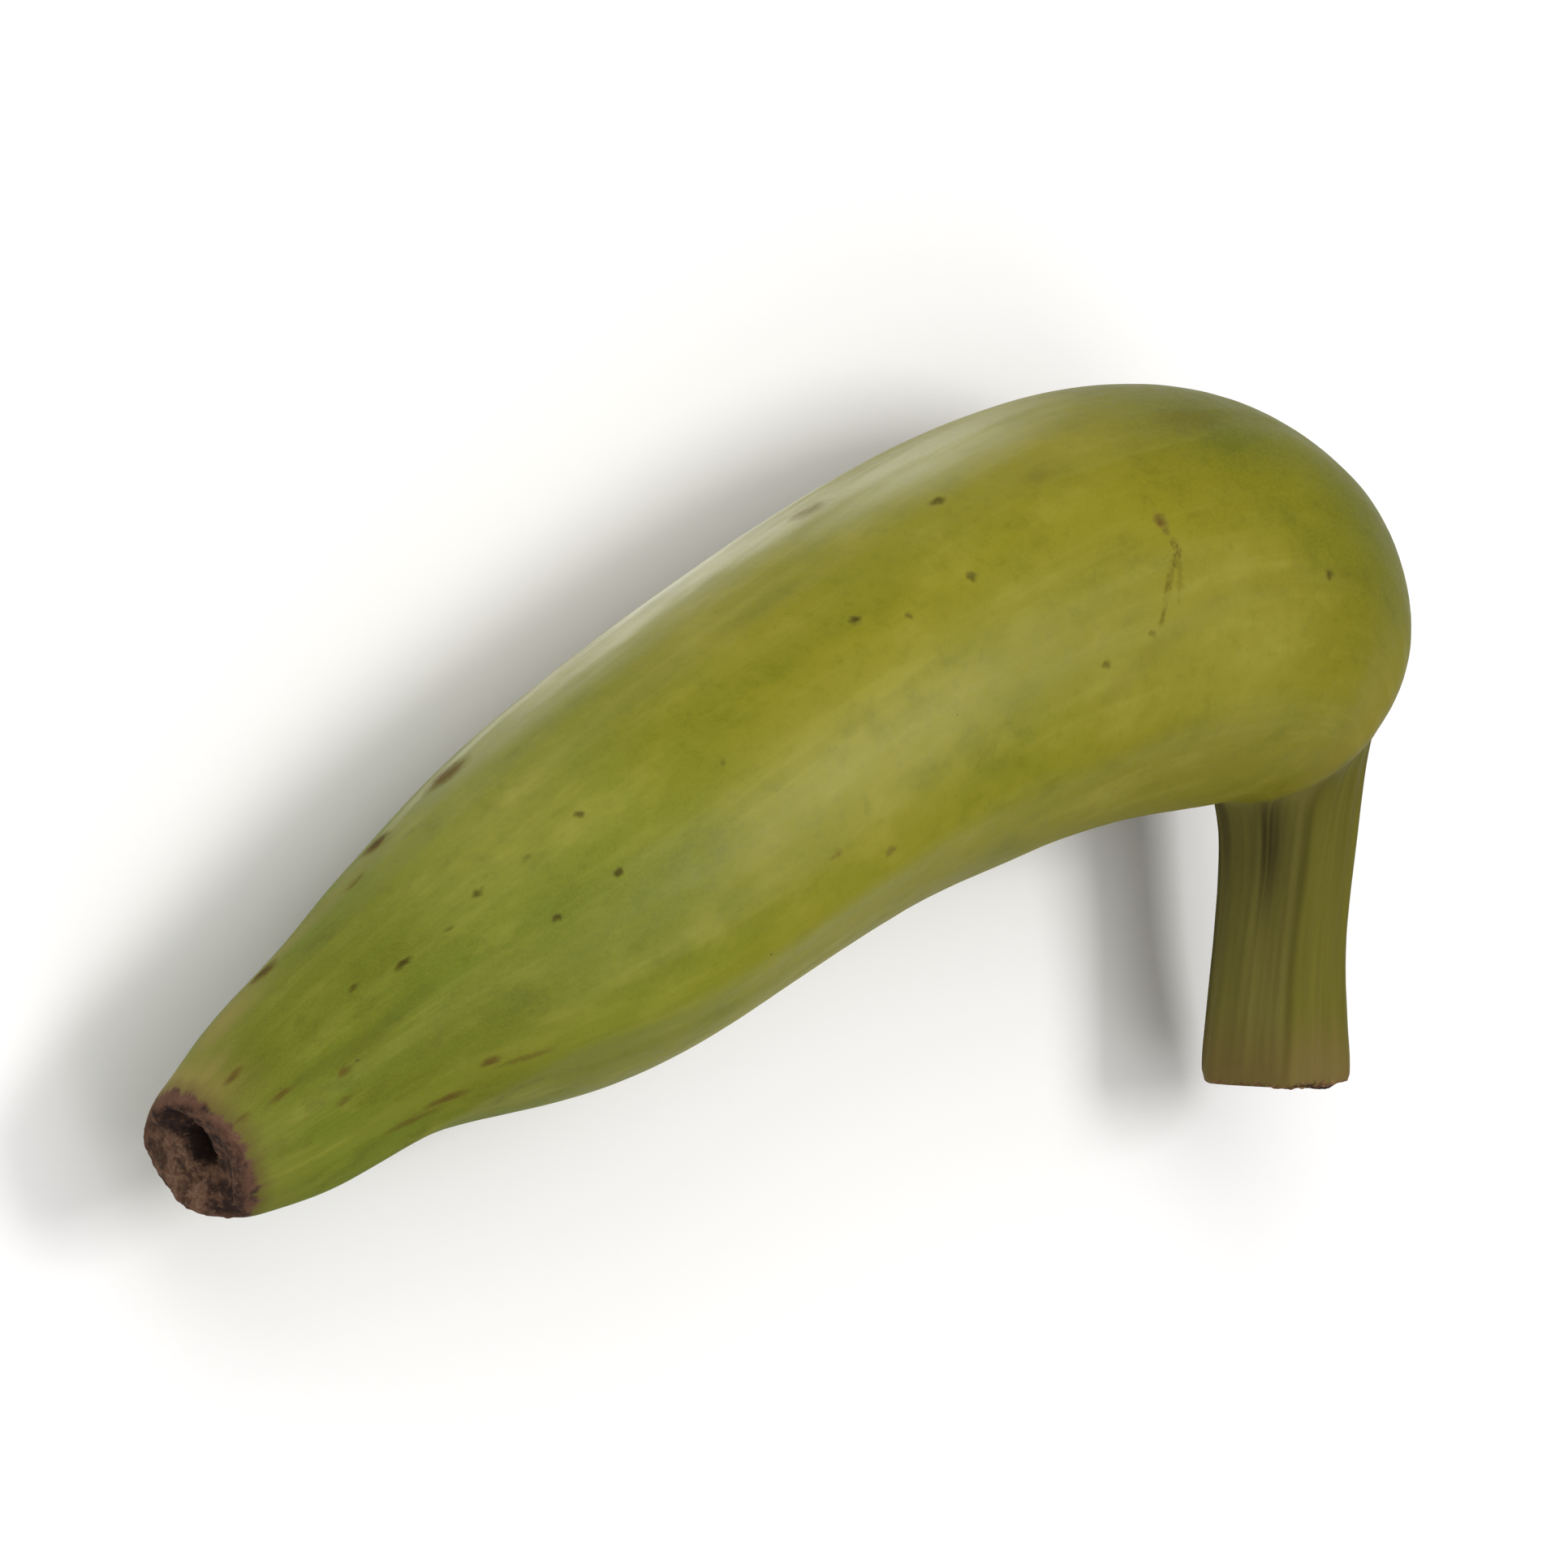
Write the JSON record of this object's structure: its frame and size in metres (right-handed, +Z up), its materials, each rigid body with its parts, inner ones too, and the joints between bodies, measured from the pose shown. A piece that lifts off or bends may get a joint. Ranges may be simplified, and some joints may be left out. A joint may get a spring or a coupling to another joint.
{
  "type": "plantain",
  "caption": "Single green plantain finger lying on its side: curved, ridged fruit with a blunt blossom scar at the tip and a narrow cut stem; rests on a small flat on its flank",
  "frame": {"origin": "centre of the bounding box's bottom face, on the surface that the fruit lies on", "axes": "X runs from the blossom tip at -X to the stem at +X, Y points towards the outer side of the curve, Z is up from the surface"},
  "size_m": [0.1876, 0.0842, 0.0497],
  "materials": {
    "peel": "waxy semi-matte green peel with brown specks, dark blossom scar and fibrous brown stem cut"
  },
  "bodies": {
    "root": {"plantain": "peel"}
  },
  "joints": []
}
